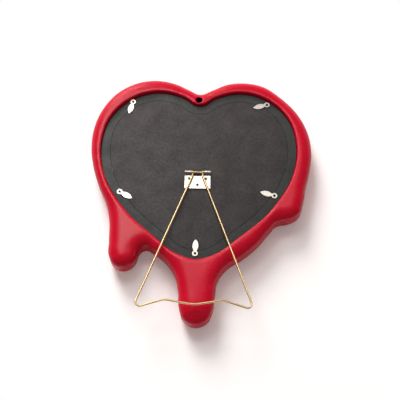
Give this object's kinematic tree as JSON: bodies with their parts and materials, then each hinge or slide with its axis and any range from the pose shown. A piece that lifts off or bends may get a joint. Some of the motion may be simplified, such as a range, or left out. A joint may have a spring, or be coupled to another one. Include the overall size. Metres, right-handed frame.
{
  "type": "photo frame",
  "caption": "Heart shaped photo frame with a melted, dripping rim, a black backing held by turn buttons, and a hinged wire stand.",
  "frame": {"origin": "middle of the overall box in X and Y, on the plane of the front crest that the part lies on", "axes": "+X to the right as the back is looked at, +Y up the frame to the lobes of the heart, +Z out of the back"},
  "size_m": [0.2498, 0.2952, 0.0356],
  "materials": {
    "red_resin": "glossy enamelled cast resin",
    "clear_glass": "clear float glass",
    "print_paper": "semi-matt photographic paper",
    "grey_card": "uncoated greyboard",
    "black_board": "painted fibreboard with a soft mottle",
    "bright_brass": "polished, lacquered",
    "brass_wire": "drawn and brass plated",
    "dark_steel": "blackened"
  },
  "bodies": {
    "frame": {"frame_body": "red_resin", "glass_pane": "clear_glass", "photo_print": "print_paper", "filler_card": "grey_card", "backing_ring": "black_board", "backing_panel": "black_board", "hinge_plate": "bright_brass", "hinge_pin": "brass_wire", "hinge_plate_screw_left": "dark_steel", "hinge_plate_screw_right": "dark_steel", "hinge_plate_screw_low": "dark_steel", "turn_button_screw_upper_left": "dark_steel", "turn_button_screw_upper_right": "dark_steel", "turn_button_screw_left": "dark_steel", "turn_button_screw_right": "dark_steel", "turn_button_screw_bottom": "dark_steel"},
    "stand": {"wire_stand": "brass_wire"},
    "button_upper_left": {"turn_button_upper_left": "bright_brass"},
    "button_upper_right": {"turn_button_upper_right": "bright_brass"},
    "button_left": {"turn_button_left": "bright_brass"},
    "button_right": {"turn_button_right": "bright_brass"},
    "button_bottom": {"turn_button_bottom": "bright_brass"}
  },
  "joints": [
    {"name": "stand_hinge", "type": "hinge", "parent": "frame", "child": "stand", "pos_m": [-0.00288, 0.02613, 0.0275], "axis": [-1, 0, 0], "range_deg": [0, 45]},
    {"name": "turn_upper_left", "type": "hinge", "parent": "frame", "child": "button_upper_left", "pos_m": [-0.07978, 0.1167, 0.0251], "axis": [0, 0, 1], "range_deg": [-35, 125]},
    {"name": "turn_upper_right", "type": "hinge", "parent": "frame", "child": "button_upper_right", "pos_m": [0.07481, 0.11525, 0.0251], "axis": [0, 0, 1], "range_deg": [-40, 125]},
    {"name": "turn_left", "type": "hinge", "parent": "frame", "child": "button_left", "pos_m": [-0.08862, 0.00192, 0.0251], "axis": [0, 0, 1], "range_deg": [-35, 160]},
    {"name": "turn_right", "type": "hinge", "parent": "frame", "child": "button_right", "pos_m": [0.08221, 0.00006, 0.0251], "axis": [0, 0, 1], "range_deg": [-120, 80]},
    {"name": "turn_bottom", "type": "hinge", "parent": "frame", "child": "button_bottom", "pos_m": [-0.00354, -0.06942, 0.0251], "axis": [0, 0, 1], "range_deg": [-85, 85]}
  ]
}
